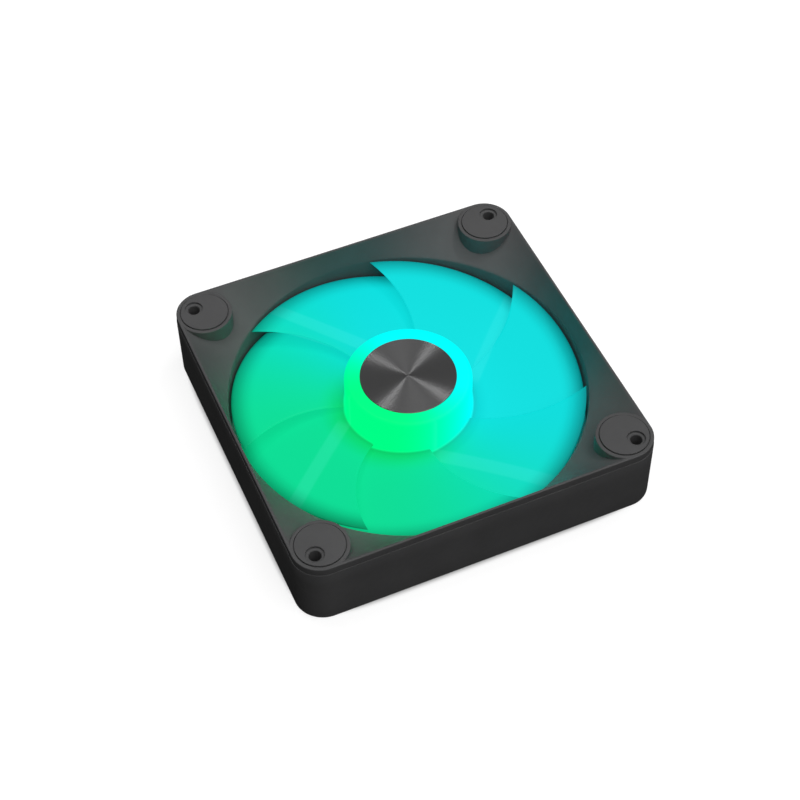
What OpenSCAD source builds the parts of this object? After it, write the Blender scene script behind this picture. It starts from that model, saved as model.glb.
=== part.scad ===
// Case fan, 140 mm class, with a lit translucent impeller.
// +Z points to the front, the air intake. The origin is on the spin axis at the rear pads' faces.

/* [Frame] */
// Outside width of the square frame
frame_w = 140; // [138:0.5:146]
// Front to back height of the frame, without the pads
frame_h = 29.4; // [28:0.1:32]
// Radius of the frame's outer corners
corner_r = 10.9; // [10:0.1:12]
// Width of the flat rim round the front face
rim_w = 0.9; // [0.6:0.1:1.4]
// Depth of the shallow step that runs round the front of the outer wall
band_d = 0.2; // [0.1:0.05:0.4]
// Height of that stepped band
band_h = 3.2; // [2:0.1:5]
// Radius of the air bore
bore_r = 67.5; // [66.8:0.1:68]
// Depth of the sloped bezel from the front rim to the bore
bezel_d = 9.4; // [7:0.1:11]
// Extra radius of the bore at its rear mouth
outlet_flare = 0.9; // [0.4:0.1:1.2]
// Depth of the cored pockets in the back of the corners
pocket_d = 6; // [2:0.5:12]
// Wall left round each pocket
pocket_wall = 2.3; // [1.8:0.1:3]

/* [Screw holes and pads] */
// Distance between the screw holes' centres
hole_spacing = 124.5; // [124:0.1:125]
// Radius of each screw hole
hole_r = 2.2; // [2:0.05:2.4]
// Radius of each round pad
pad_r = 9; // [8:0.1:9.2]
// Thickness of each pad
pad_t = 0.9; // [0.8:0.05:1.2]
// Height by which a pad stands out of its corner
pad_lift = 0.3; // [0.2:0.05:0.4]
// Radius of the pad's hole, which clears a screw head
pad_hole_r = 3.35; // [3:0.05:3.6]
// Gap round each pad in its recess
pad_gap = 0.3; // [0.2:0.05:0.4]

/* [Motor base and struts] */
// Outside radius of the motor base
base_r = 25.8; // [25.4:0.1:27]
// Top of the motor base's rim
base_top = 6.4; // [6:0.1:6.6]
// Wall of the motor base's rim
base_wall = 1.5; // [1:0.1:1.6]
// Floor thickness of the motor base
base_floor = 1.6; // [1.2:0.1:2]
// Distance from the spin axis to each strut's centre line
strut_offset = 19; // [16:0.5:20]
// Width of each strut
strut_w = 5.4; // [4.6:0.1:6]
// Height of each strut
strut_h = 4; // [3:0.1:4.2]
// Width of the cable channel in the back of one strut
channel_w = 3.2; // [2:0.1:3.4]
// Depth of that channel
channel_d = 2.6; // [1.5:0.1:2.8]

/* [Impeller] */
// Outside radius of the hub
hub_r = 24; // [23.6:0.1:24.4]
// Height of the hub's front face
hub_top = 27.7; // [27.2:0.1:28.5]
// Height of the hub's open rear edge
hub_bottom = 7.8; // [7.4:0.1:8.4]
// Wall of the hub
hub_wall = 1.5; // [1.2:0.1:1.5]
// Rounding of the hub's front edge
hub_fillet = 1.8; // [1:0.1:2.4]
// Radius at the blade tips
tip_r = 66.6; // [65.5:0.1:66.8]
// Number of blades
blades = 7; // [5:1:9]
// Share of its pitch angle that each blade covers: over 1, neighbouring blades overlap
blade_cover = 1.16; // [0.7:0.01:1.2]
// Angle by which a blade's tip leads its root
blade_sweep = 20; // [0:1:26]
// Part of the blade's rise that its camber bends forward
blade_camber = 0.45; // [0:0.05:0.5]
// Thickness of a blade at its root
blade_t_root = 2; // [1.4:0.1:2.4]
// Thickness of a blade at its tip
blade_t_tip = 1.3; // [1:0.1:1.6]

/* [Motor] */
// Radius of the shaft
shaft_r = 1.5; // [1:0.1:2]
// Radial clearance between the shaft and the sleeve bearing
shaft_gap = 0.03; // [0.02:0.01:0.08]
// Outside radius of the bearing tube
tube_r = 4.6; // [4.4:0.1:5]
// Inside radius of the bearing tube
tube_bore_r = 3.6; // [3.2:0.1:3.8]
// Outside radius of the steel yoke
yoke_r = 21.4; // [21:0.1:21.6]
// Sheet thickness of the yoke
yoke_t = 0.9; // [0.6:0.1:1]
// Radial thickness of the ring magnet
magnet_t = 2.1; // [1.5:0.1:2.4]
// Air gap between the magnet and the stator
air_gap = 0.6; // [0.4:0.05:1]
// Height of the laminated stator stack
stack_h = 6.5; // [5:0.5:7]
// Number of stator poles, each with its own coil
poles = 4; // [4:1:4]
// Number of light-emitting diodes in the ring
led_count = 12; // [6:1:18]

/* [Hidden] */
$fn = 96;
eps = 0.01;

// frame
rear_z = pad_lift;
front_z = rear_z + frame_h;
throat_z = front_z - bezel_d;
boss_c = frame_w / 2 - corner_r;
boss_r = corner_r - band_d;
hole_c = hole_spacing / 2;
recess_d = pad_t - pad_lift;
boss_web = 8;
flare_h = 3;
strut_end = bore_r - 1;
strut_start = 14;
strut_chamfer = 1.2;
channel_start = 12.5;
strut_angles = [45, 135, 225, 315];

// motor base, from the rear
label_r = 22.2;
label_t = 0.15;
label_recess = 0.4;
base_rear = rear_z + label_recess;
floor_top = base_rear + base_floor;
board_r = base_r - base_wall - 0.4;
board_t = 1.2;
ledge_w = 1.6;
board_z = floor_top + 1.2;
board_top = board_z + board_t;
boss_tube_r = 6.6;
boss_tube_top = 8.9;
board_hole_r = boss_tube_r + 0.6;

// bearing
tube_z = base_rear;
tube_top = 17.5;
cap_t = 1.3;
thrust_t = 0.8;
thrust_top = tube_z + cap_t + thrust_t;
sleeve_z = 4.2;
sleeve_top = 15.7;
seal_z = 16.1;
seal_t = 1;
seal_gap = 0.4;

// rotor
shaft_z = thrust_top + 0.03;
shaft_top = 25;
groove_z = 3.3;
groove_h = 0.5;
groove_r = 1.15;
lock_r = 2.8;
hub_ceiling = 24.6;
disc_r = 18.1;
disc_t = 0.5;
disc_gap = 0.15;
bushing_r = 4;
bushing_flange_r = 6;
bushing_flange_t = 0.8;
bushing_z = 20;
yoke_z = 9.5;
magnet_z = 9.8;
magnet_h = 11;
rib_count = 12;
rib_w = 1.2;
rib_z = 12;

// stator
magnet_in_r = yoke_r - yoke_t - magnet_t;
stator_r = magnet_in_r - air_gap;
stack_z = boss_tube_top + 1.6;
stack_top = stack_z + stack_h;
tooth_w = 4;
shoe_t = 1.6;
core_r = 6.4;
slot_w = 3;
insulator_t = 0.6;
insulator_h = 1;
coil_in = 7.4;
coil_len = 7.6;
coil_side = 3;
coil_end = 2.2;
coil_gap = 0.05;
coil_corner = 1.6;
post_c = 12;
post_r = 1.3;
pin_r = 0.35;
post_angles = [for (i = [0:2]) (i + 0.5) * 360 / poles];

// blade grid: stations from root to tip, and points from trailing to leading edge
stations = 10;
chord_pts = 12;
root_r = hub_r - 0.8;
te_root_z = 8.6;
te_tip_z = 10.4;
le_root_z = 12;
le_tip_z = 20.4;
edge_share = 0.3;
sweep_power = 1.4;
pitch_angle = 360 / blades;
blade_span = pitch_angle * blade_cover;

corner_signs = [[1, 1], [-1, 1], [-1, -1], [1, -1]];
corner_count = len(corner_signs);

// ---- shared shapes ----

function lerp(a, b, t) = a + (b - a) * t;

module rounded_rect(w, h, r) {
    square([w - 2 * r, h], center = true);
    square([w, h - 2 * r], center = true);
    for (s = corner_signs) {
        translate([s[0] * (w / 2 - r), s[1] * (h / 2 - r)]) circle(r);
    }
}

module ring(r_out, r_in, z, h) {
    translate([0, 0, z]) linear_extrude(h) difference() {
        circle(r_out);
        circle(r_in);
    }
}

module at_corners(c) {
    for (s = corner_signs) {
        translate([s[0] * c, s[1] * c, 0]) children();
    }
}

module polar(angle, r, z) {
    rotate([0, 0, angle]) translate([r, 0, z]) children();
}

// ---- frame ----

module frame_block() {
    body_h = frame_h - band_h;
    inner_w = frame_w - 2 * band_d;
    translate([0, 0, rear_z]) linear_extrude(body_h) rounded_rect(frame_w, frame_w, corner_r);
    translate([0, 0, rear_z]) linear_extrude(frame_h) rounded_rect(inner_w, inner_w, boss_r);
}

module bezel_space() {
    rim_in = frame_w - 2 * (band_d + rim_w);
    hull() {
        translate([0, 0, front_z]) linear_extrude(eps) {
            rounded_rect(rim_in, rim_in, boss_r - rim_w, $fn = 64);
        }
        translate([0, 0, throat_z]) linear_extrude(eps) circle(bore_r);
    }
}

module bore_space() {
    translate([0, 0, rear_z - 1]) cylinder(r = bore_r, h = frame_h);
    translate([0, 0, rear_z - eps]) cylinder(r1 = bore_r + outlet_flare, r2 = bore_r, h = flare_h);
}

module pocket_outline() {
    inside_w = frame_w - 2 * pocket_wall;
    difference() {
        rounded_rect(inside_w, inside_w, corner_r - pocket_wall);
        circle(bore_r + pocket_wall);
        for (s = corner_signs) {
            translate([s[0] * boss_c, s[1] * boss_c]) circle(boss_r);
        }
        for (a = strut_angles) {
            rotate(a) translate([bore_r, -boss_web / 2]) square([boss_web * 2, boss_web]);
        }
        rotate(strut_angles[0]) translate([0, -strut_offset - strut_w / 2]) square([frame_w, strut_w]);
    }
}

module pockets() {
    translate([0, 0, rear_z - 1]) linear_extrude(pocket_d + 1) pocket_outline();
}

module frame_shell() {
    difference() {
        frame_block();
        bezel_space();
        bore_space();
        pockets();
    }
}

module bosses() {
    at_corners(boss_c) translate([0, 0, rear_z]) cylinder(r = boss_r, h = frame_h);
}

module strut(angle) {
    half = strut_w / 2;
    run = strut_end - strut_start;
    section = [
        [-half, 0],
        [half, 0],
        [half, strut_h - strut_chamfer],
        [half - strut_chamfer, strut_h],
        [strut_chamfer - half, strut_h],
        [-half, strut_h - strut_chamfer]
    ];
    rotate([0, 0, angle]) translate([strut_start, -strut_offset, rear_z]) {
        rotate([90, 0, 90]) linear_extrude(run) polygon(section);
    }
}

module struts() {
    difference() {
        for (a = strut_angles) strut(a);
        base_room();
    }
}

// the space inside the motor base
module base_room() {
    translate([0, 0, floor_top]) cylinder(r = base_r - base_wall, h = base_top);
}

module base_cup() {
    ledge_r = base_r - base_wall;
    difference() {
        translate([0, 0, rear_z]) cylinder(r = base_r, h = base_top - rear_z);
        base_room();
    }
    ring(ledge_r + eps, ledge_r - ledge_w, floor_top - eps, board_z - floor_top + eps);
    translate([0, 0, rear_z]) cylinder(r = boss_tube_r, h = boss_tube_top - rear_z);
}

module corner_cuts() {
    at_corners(hole_c) translate([0, 0, -1]) cylinder(r = hole_r, h = frame_h + 3);
    at_corners(boss_c) {
        translate([0, 0, front_z - recess_d]) cylinder(r = pad_r + pad_gap, h = recess_d + 1);
        translate([0, 0, rear_z - 1]) cylinder(r = pad_r + pad_gap, h = recess_d + 1);
    }
}

module base_cuts() {
    translate([0, 0, rear_z - 1]) cylinder(r = label_r + 0.2, h = label_recess + 1);
    translate([0, 0, rear_z - 1]) cylinder(r = tube_r, h = boss_tube_top + 2);
}

module cable_channel() {
    rotate([0, 0, strut_angles[0]]) {
        translate([channel_start, -strut_offset - channel_w / 2, rear_z - 1]) {
            cube([frame_w, channel_w, channel_d + 1]);
        }
    }
}

module frame() color([0.19, 0.19, 0.19]) {
    difference() {
        union() {
            frame_shell();
            bosses();
            struts();
            base_cup();
        }
        corner_cuts();
        base_cuts();
        cable_channel();
    }
}

// ---- pads ----

module pad(i, z) color([0.33, 0.33, 0.33]) {
    s = corner_signs[i - 1];
    translate([0, 0, z]) linear_extrude(pad_t) difference() {
        translate([s[0] * boss_c, s[1] * boss_c]) circle(pad_r);
        translate([s[0] * hole_c, s[1] * hole_c]) circle(pad_hole_r);
    }
}

module front_pad(i) pad(i, front_z - recess_d);

module rear_pad(i) pad(i, 0);

// ---- bearing ----

module bearing_tube() color([0.78, 0.62, 0.3]) {
    ring(tube_r, tube_bore_r, tube_z, tube_top - tube_z);
}

module sleeve_bearing() color([0.6, 0.46, 0.28]) {
    ring(tube_bore_r, shaft_r + shaft_gap, sleeve_z, sleeve_top - sleeve_z);
}

module oil_seal() color([0.85, 0.85, 0.8]) {
    ring(tube_bore_r, shaft_r + seal_gap, seal_z, seal_t);
}

module thrust_pad() color([0.9, 0.88, 0.8]) {
    translate([0, 0, tube_z + cap_t]) cylinder(r = tube_bore_r, h = thrust_t);
}

module rear_cap() color([0.12, 0.12, 0.12]) {
    translate([0, 0, tube_z]) cylinder(r = tube_bore_r, h = cap_t);
}

// ---- stator ----

module slots() {
    for (i = [0:poles - 1]) {
        rotate((i + 0.5) * 360 / poles) translate([0, -slot_w / 2]) square([stator_r + 1, slot_w]);
    }
}

module teeth(reach) {
    for (i = [0:poles - 1]) {
        rotate(i * 360 / poles) translate([0, -tooth_w / 2]) square([reach, tooth_w]);
    }
}

module core_outline() {
    difference() {
        union() {
            circle(core_r);
            teeth(stator_r - shoe_t / 2);
            difference() {
                circle(stator_r);
                circle(stator_r - shoe_t);
                slots();
            }
        }
        circle(tube_r);
    }
}

module stator_core() color([0.5, 0.5, 0.52]) {
    translate([0, 0, stack_z]) linear_extrude(stack_h) core_outline();
}

// half a bobbin, rising from z = 0: hub ring, arms over the teeth, and flanges that hold the coils
module bobbin_half() {
    flange_w = tooth_w + 2 * coil_side;
    linear_extrude(insulator_h) difference() {
        union() {
            circle(core_r + insulator_t);
            teeth(stator_r - shoe_t);
        }
        circle(tube_r);
    }
    for (i = [0:poles - 1]) {
        polar(i * 360 / poles, coil_in + coil_len + 0.1, 0) {
            translate([0, -flange_w / 2, 0]) cube([insulator_t, flange_w, insulator_h + coil_end]);
        }
    }
}

module upper_insulator() color([0.9, 0.9, 0.86]) {
    translate([0, 0, stack_top]) bobbin_half();
}

module terminal_post(angle) {
    polar(angle, post_c, board_top) cylinder(r = post_r, h = stack_z - board_top, $fn = 32);
    polar(angle, core_r, stack_z - insulator_h) {
        translate([0, -post_r, 0]) cube([post_c - core_r, 2 * post_r, insulator_h]);
    }
}

module lower_insulator() color([0.9, 0.9, 0.86]) {
    difference() {
        union() {
            translate([0, 0, stack_z]) mirror([0, 0, 1]) bobbin_half();
            ring(core_r + insulator_t, tube_r, boss_tube_top, stack_z - boss_tube_top);
            for (a = post_angles) terminal_post(a);
        }
        for (a = post_angles) polar(a, post_c, board_top - 1) cylinder(r = pin_r, h = 4, $fn = 24);
    }
}

module terminal_pins() color([0.8, 0.7, 0.4]) {
    for (a = post_angles) polar(a, post_c, board_z - 0.6) cylinder(r = pin_r, h = board_t + 2.6, $fn = 24);
}

// windings round one tooth, wound over the bobbin
module coil(i) color([0.72, 0.36, 0.16]) {
    hole_w = tooth_w + 2 * coil_gap;
    hole_h = stack_h + 2 * (insulator_h + coil_gap);
    polar((i - 1) * 360 / poles, coil_in, stack_z + stack_h / 2) {
        rotate([90, 0, 90]) linear_extrude(coil_len) difference() {
            rounded_rect(hole_w + 2 * coil_side, hole_h + 2 * coil_end, coil_corner);
            square([hole_w, hole_h], center = true);
        }
    }
}

// ---- circuit board ----

module circuit_board() color([0.07, 0.2, 0.12]) {
    translate([0, 0, board_z]) linear_extrude(board_t) difference() {
        circle(board_r);
        circle(board_hole_r);
        for (a = post_angles) rotate(a) translate([post_c, 0]) circle(pin_r, $fn = 24);
    }
}

module chip(angle, r, size) {
    polar(angle, r, board_top) translate([0, 0, size[2] / 2]) cube(size, center = true);
}

module hall_sensor() color([0.1, 0.1, 0.1]) {
    chip(20, 19.2, [1.5, 4, 3.6]);
}

module driver_chip() color([0.1, 0.1, 0.1]) {
    chip(315, 14, [4, 5, 1.4]);
}

module board_parts() color([0.55, 0.45, 0.35]) {
    for (a = [0, 12, 90, 102, 180, 192]) chip(a + 64, 17.2, [0.8, 1.6, 0.6]);
    for (a = [270, 300, 330]) chip(a + 24, 18.6, [1.25, 2, 1]);
}

module leds() color([0.95, 0.95, 0.9]) {
    for (i = [0:led_count - 1]) chip(i * 360 / led_count, 22.4, [1.6, 2, 1]);
}

module rear_label() color([0.2, 0.2, 0.21]) {
    translate([0, 0, base_rear - label_t]) cylinder(r = label_r, h = label_t);
}

// ---- rotor ----

// a blade's middle surface: t runs from root to tip, u from trailing to leading edge
function station_r(t) = lerp(root_r, tip_r, t);
function rise(t) = lerp(le_root_z - te_root_z, le_tip_z - te_tip_z, t);
function mid_angle(t, u) = blade_sweep * pow(t, sweep_power) + blade_span * u;
function camber_line(u) = (1 + blade_camber) * u - blade_camber * u * u;
function mid_z(t, u) = lerp(te_root_z, te_tip_z, t) + rise(t) * camber_line(u);
function slope(t, u) = rise(t) * (1 + blade_camber - 2 * blade_camber * u)
    / (station_r(t) * blade_span * PI / 180);
function half_t(t, u) = 0.5 * lerp(blade_t_root, blade_t_tip, t)
    * lerp(edge_share, 1, 4 * u * (1 - u)) * sqrt(1 + pow(slope(t, u), 2));
function skin_point(t, u, side) = [
    station_r(t) * cos(mid_angle(t, u)),
    station_r(t) * sin(mid_angle(t, u)),
    mid_z(t, u) + side * half_t(t, u)
];
function grid_t(i) = i / (stations - 1);
function grid_u(j) = j / (chord_pts - 1);
function skin(side) = [
    for (i = [0:stations - 1])
        for (j = [0:chord_pts - 1])
            skin_point(grid_t(i), grid_u(j), side)
];
function at(i, j, lower) = i * chord_pts + j + (lower ? stations * chord_pts : 0);
function quad(a, b, c, d) = [[a, b, c], [a, c, d]];
function flat2(list) = [for (l = list) for (f = l) f];

module blade() {
    last_i = stations - 1;
    last_j = chord_pts - 1;
    upper = [for (i = [0:last_i - 1]) for (j = [0:last_j - 1])
        quad(at(i, j, false), at(i, j + 1, false), at(i + 1, j + 1, false), at(i + 1, j, false))];
    lower = [for (i = [0:last_i - 1]) for (j = [0:last_j - 1])
        quad(at(i, j, true), at(i + 1, j, true), at(i + 1, j + 1, true), at(i, j + 1, true))];
    edges = [for (i = [0:last_i - 1], e = [[0, false], [last_j, true]])
        e[1]
            ? quad(at(i, e[0], false), at(i, e[0], true), at(i + 1, e[0], true), at(i + 1, e[0], false))
            : quad(at(i, e[0], false), at(i + 1, e[0], false), at(i + 1, e[0], true), at(i, e[0], true))];
    ends = [for (j = [0:last_j - 1], e = [[0, true], [last_i, false]])
        e[1]
            ? quad(at(e[0], j, false), at(e[0], j, true), at(e[0], j + 1, true), at(e[0], j + 1, false))
            : quad(at(e[0], j, false), at(e[0], j + 1, false), at(e[0], j + 1, true), at(e[0], j, true))];
    polyhedron(
        points = concat(skin(1), skin(-1)),
        faces = flat2(concat(upper, lower, edges, ends))
    );
}

module hub_profile() {
    difference() {
        union() {
            translate([0, hub_bottom]) square([hub_r, hub_top - hub_fillet - hub_bottom]);
            translate([0, hub_bottom]) square([hub_r - hub_fillet, hub_top - hub_bottom]);
            translate([hub_r - hub_fillet, hub_top - hub_fillet]) circle(hub_fillet);
        }
        translate([-1, hub_bottom - 1]) square([hub_r - hub_wall + 1, hub_ceiling - hub_bottom + 1]);
        translate([-1, hub_top - disc_t]) square([disc_r + disc_gap + 1, disc_t + 1]);
        translate([-hub_r, 0]) square([hub_r, 2 * hub_top]);
    }
}

// ribs inside the hub that centre the yoke
module hub_ribs() {
    intersection() {
        for (i = [0:rib_count - 1]) {
            polar((i + 0.5) * 360 / rib_count, yoke_r - 1, rib_z) {
                translate([0, -rib_w / 2, 0]) cube([3, rib_w, hub_ceiling - rib_z + 0.5]);
            }
        }
        ring(hub_r - hub_wall / 2, yoke_r, rib_z, hub_top - rib_z);
    }
}

module impeller() color([0.1, 0.85, 0.75]) {
    difference() {
        rotate_extrude() hub_profile();
        translate([0, 0, bushing_z]) cylinder(r = bushing_r, h = shaft_top - bushing_z + 0.2);
    }
    hub_ribs();
    for (i = [0:blades - 1]) rotate([0, 0, i * pitch_angle]) blade();
}

module yoke() color([0.6, 0.61, 0.63]) {
    plate_z = hub_ceiling - yoke_t;
    difference() {
        translate([0, 0, yoke_z]) cylinder(r = yoke_r, h = hub_ceiling - yoke_z);
        translate([0, 0, yoke_z - 1]) cylinder(r = yoke_r - yoke_t, h = plate_z - yoke_z + 1);
        translate([0, 0, yoke_z]) cylinder(r = bushing_r, h = hub_top);
    }
}

module ring_magnet() color([0.24, 0.22, 0.21]) {
    ring(yoke_r - yoke_t, magnet_in_r, magnet_z, magnet_h);
}

module shaft_profile() {
    difference() {
        union() {
            translate([0, shaft_z + shaft_r]) square([shaft_r, shaft_top - shaft_z - shaft_r]);
            translate([0, shaft_z + shaft_r]) circle(shaft_r);
        }
        translate([groove_r, groove_z]) square([shaft_r, groove_h]);
        translate([-2 * shaft_r, 0]) square([2 * shaft_r, shaft_top + 1]);
    }
}

module shaft() color([0.75, 0.76, 0.78]) {
    rotate_extrude() shaft_profile();
}

module shaft_bushing() color([0.78, 0.62, 0.3]) {
    flange_z = hub_ceiling - yoke_t - bushing_flange_t;
    ring(bushing_r, shaft_r, bushing_z, shaft_top - bushing_z);
    ring(bushing_flange_r, bushing_r - eps, flange_z, bushing_flange_t);
}

module lock_ring() color([0.3, 0.3, 0.32]) {
    translate([0, 0, groove_z + 0.05]) linear_extrude(groove_h - 0.1) difference() {
        circle(lock_r);
        circle(groove_r);
        translate([0, -groove_r * 0.8]) square([2 * lock_r, groove_r * 1.6]);
    }
}

module hub_disc() color([0.25, 0.25, 0.25]) {
    translate([0, 0, hub_top - disc_t]) cylinder(r = disc_r, h = disc_t);
}

frame();
bearing_tube();
sleeve_bearing();
oil_seal();
thrust_pad();
rear_cap();
stator_core();
upper_insulator();
lower_insulator();
terminal_pins();
circuit_board();
hall_sensor();
driver_chip();
board_parts();
leds();
rear_label();
impeller();
yoke();
ring_magnet();
shaft();
shaft_bushing();
lock_ring();
hub_disc();
for (i = [1:corner_count]) {
    front_pad(i);
    rear_pad(i);
}
for (i = [1:poles]) {
    coil(i);
}
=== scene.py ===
import math

import bmesh
import bpy
from mathutils import Matrix, Vector


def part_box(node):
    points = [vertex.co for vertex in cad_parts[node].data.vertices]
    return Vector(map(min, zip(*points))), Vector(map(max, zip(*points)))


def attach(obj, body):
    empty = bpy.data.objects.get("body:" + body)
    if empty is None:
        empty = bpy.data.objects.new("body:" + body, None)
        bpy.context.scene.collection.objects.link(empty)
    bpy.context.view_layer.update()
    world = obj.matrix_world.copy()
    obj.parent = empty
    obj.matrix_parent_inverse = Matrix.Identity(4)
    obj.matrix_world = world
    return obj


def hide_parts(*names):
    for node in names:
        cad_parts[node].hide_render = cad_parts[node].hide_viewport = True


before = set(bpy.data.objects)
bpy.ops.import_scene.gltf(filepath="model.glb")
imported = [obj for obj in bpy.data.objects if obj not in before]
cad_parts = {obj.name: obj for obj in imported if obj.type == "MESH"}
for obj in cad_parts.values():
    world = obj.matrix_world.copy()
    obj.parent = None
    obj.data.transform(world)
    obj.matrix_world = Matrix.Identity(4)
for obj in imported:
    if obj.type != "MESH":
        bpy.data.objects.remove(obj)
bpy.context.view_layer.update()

MM = 0.001

# ---- sizes, in metres, that repeat the CAD model's ----

FRONT_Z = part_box("frame")[1].z
REAR_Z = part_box("frame")[0].z
HALF_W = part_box("frame")[1].x
CORNER_R = 10.9 * MM
STEP_D = 0.2 * MM
STEP_H = 3.2 * MM
RIM_W = 0.9 * MM
BORE_R = 67.5 * MM
FLARE_W = 0.9 * MM
FLARE_H = 3 * MM
BEZEL_D = 9.4 * MM
THROAT_Z = FRONT_Z - BEZEL_D
BOSS_C = HALF_W - CORNER_R
BOSS_R = CORNER_R - STEP_D
HOLE_C = 62.25 * MM
HOLE_R = 2.2 * MM
PAD_R = 9 * MM
PAD_GAP = 0.3 * MM
PAD_T = 0.9 * MM
PAD_HOLE_R = 3.35 * MM
RECESS_D = 0.6 * MM
STRUT_OFFSET = 19 * MM
STRUT_W = 5.4 * MM
STRUT_H = 4 * MM
STRUT_START = 14 * MM
STRUT_END = BORE_R - 1 * MM
STRUT_ANGLES = (45, 135, 225, 315)
BASE_R = 25.8 * MM
BASE_WALL = 1.5 * MM
BASE_TOP = 6.4 * MM
FLOOR_TOP = 2.3 * MM
LABEL_R = 22.2 * MM
LABEL_RECESS = 0.4 * MM
TUBE_R = 4.6 * MM
TUBE_BOSS_R = 6.6 * MM
TUBE_BOSS_TOP = 8.9 * MM
LEDGE_W = 1.6 * MM
LEDGE_TOP = 3.5 * MM
CHANNEL_W = 3.2 * MM
CHANNEL_D = 2.6 * MM
CHANNEL_START = 12.5 * MM
POCKET_D = 6 * MM
POCKET_WALL = 2.3 * MM
BOSS_WEB = 8 * MM
HUB_R = 24 * MM
HUB_TOP = 27.7 * MM
HUB_BOTTOM = 7.8 * MM
HUB_WALL = 1.5 * MM
HUB_CEILING = 24.6 * MM
HUB_FILLET = 1.8 * MM
DISC_R = 18.1 * MM
DISC_T = 0.5 * MM
DISC_GAP = 0.15 * MM
BUSHING_R = 4 * MM
BUSHING_TOP = 25.2 * MM
YOKE_R = 21.4 * MM
RIB_COUNT = 12
RIB_W = 1.2 * MM
RIB_Z = 12 * MM
TIP_R = 66.6 * MM
BLADES = 7
CORNERS = ((1, 1), (-1, 1), (-1, -1), (1, -1))


# ---- camera and light ----

DOME_AXIS = Vector((0.1, -0.4, 0.91)).normalized()
DOME_EXPONENT = 6
DOME_TOP = 3.25
DOME_LOW = 0.03
STREAK_LEFT = (-0.164, 0.299, 0.94)
STREAK_RIGHT = (0.496, 0.153, 0.855)
STREAK_DISTANCE = 1.1
STREAK_SIZE = (0.4, 0.1)
STREAK_POWER = 2.3
FRONT_SIDE = (0, -1, -0.2)
FRONT_DISTANCE = 1.4
FRONT_SIZE = (0.8, 0.8)
FRONT_POWER = 0.4
SPILL_POWER = 0.0016
SPILL_GREEN = 1.2
SPILL_NEAR = 0.6
SPILL_COUNT = 24
SPILL_R = 54 * MM
SPILL_Z = 22 * MM
SPILL_SIZE = 2 * MM

VIEW_AZIMUTH = math.radians(-22.756)
VIEW_ELEVATION = math.radians(50.575)
VIEW_ROLL = math.radians(-1.014)
VIEW_DISTANCE = 703.28 * MM
VIEW_OFFSET = (3.363 * MM, -8.176 * MM)
VIEW_LENS = 82.57
SENSOR_W = 36

FLOOR_Z = -0.02 * MM
FLOOR_BASE = 0.35
FLOOR_GLOW = 0.72
FLOOR_ROUGHNESS = 0.9
FLOOR_SPECULAR = 0.1
PAINTED_SHADOW_EDGE = (0.98, 1.03)
CORNER_EXPONENT = 8
SWEEP_R = 1.6
SWEEP_BEND = 0.6
SWEEP_STEPS = 16
SWEEP_H = 2.5
SWEEP_T = 0.05


def add_object(name, data):
    obj = bpy.data.objects.new(name, data)
    bpy.context.scene.collection.objects.link(obj)
    return obj


def make_camera():
    """A camera turned to the view's azimuth, elevation and roll, aimed a little off the origin."""
    flat = math.cos(VIEW_ELEVATION)
    back = Vector((
        math.sin(VIEW_AZIMUTH) * flat,
        -math.cos(VIEW_AZIMUTH) * flat,
        math.sin(VIEW_ELEVATION),
    ))
    level = Vector((0, 0, 1)).cross(back).normalized()
    roll = Matrix.Rotation(VIEW_ROLL, 3, back)
    right = roll @ level
    up = roll @ back.cross(level)
    place = back * VIEW_DISTANCE - right * VIEW_OFFSET[0] - up * VIEW_OFFSET[1]
    place.z += REAR_Z
    data = bpy.data.cameras.new("camera")
    data.lens = VIEW_LENS
    data.sensor_width = SENSOR_W
    data.clip_start = 0.01
    camera = add_object("camera", data)
    turn = Matrix((right, up, back)).transposed().to_4x4()
    camera.matrix_world = Matrix.Translation(place) @ turn
    bpy.context.scene.camera = camera


def area_light(name, direction, distance, size, power):
    """A soft rectangular light that looks back at the origin from that direction."""
    data = bpy.data.lights.new(name, "AREA")
    data.shape = "RECTANGLE"
    data.size, data.size_y = size
    data.energy = power
    light = add_object(name, data)
    light.location = Vector(direction).normalized() * distance
    light.rotation_euler = Vector(direction).to_track_quat("Z", "Y").to_euler()


def make_sky():
    """A soft overhead studio dome: brightest above and a little in front, dim at the horizon."""
    world = bpy.data.worlds.new("studio")
    bpy.context.scene.world = world
    world.use_nodes = True
    tree = world.node_tree
    direction = tree.nodes.new("ShaderNodeTexCoord").outputs["Generated"]
    height = math_node(tree, "MAXIMUM", vector_measure(tree, "DOT_PRODUCT", direction, DOME_AXIS), 0)
    dome = math_node(tree, "POWER", height, DOME_EXPONENT)
    level = math_node(tree, "MULTIPLY_ADD", dome, DOME_TOP, DOME_LOW)
    set_inputs(tree.nodes["Background"], Color=(1, 1, 1, 1), Strength=level)


def make_lights():
    make_sky()
    area_light("streak_left", STREAK_LEFT, STREAK_DISTANCE, STREAK_SIZE, STREAK_POWER)
    area_light("streak_right", STREAK_RIGHT, STREAK_DISTANCE, STREAK_SIZE, STREAK_POWER)
    area_light("front", FRONT_SIDE, FRONT_DISTANCE, FRONT_SIZE, FRONT_POWER)


def spill_light(number, angle, receivers):
    """One light of the ring: brighter on the green side, and brighter towards -Y than towards +Y."""
    data = bpy.data.lights.new(f"spill_{number}", "POINT")
    near = 1 - SPILL_NEAR * math.sin(angle)
    data.energy = SPILL_POWER * near * (1 + SPILL_GREEN * greenness(angle))
    data.color = glow_color(angle)
    data.shadow_soft_size = SPILL_SIZE
    light = add_object(data.name, data)
    light.location = (*polar(SPILL_R, angle), SPILL_Z)
    light.visible_camera = False
    light.visible_glossy = False
    light.light_linking.receiver_collection = receivers


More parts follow.
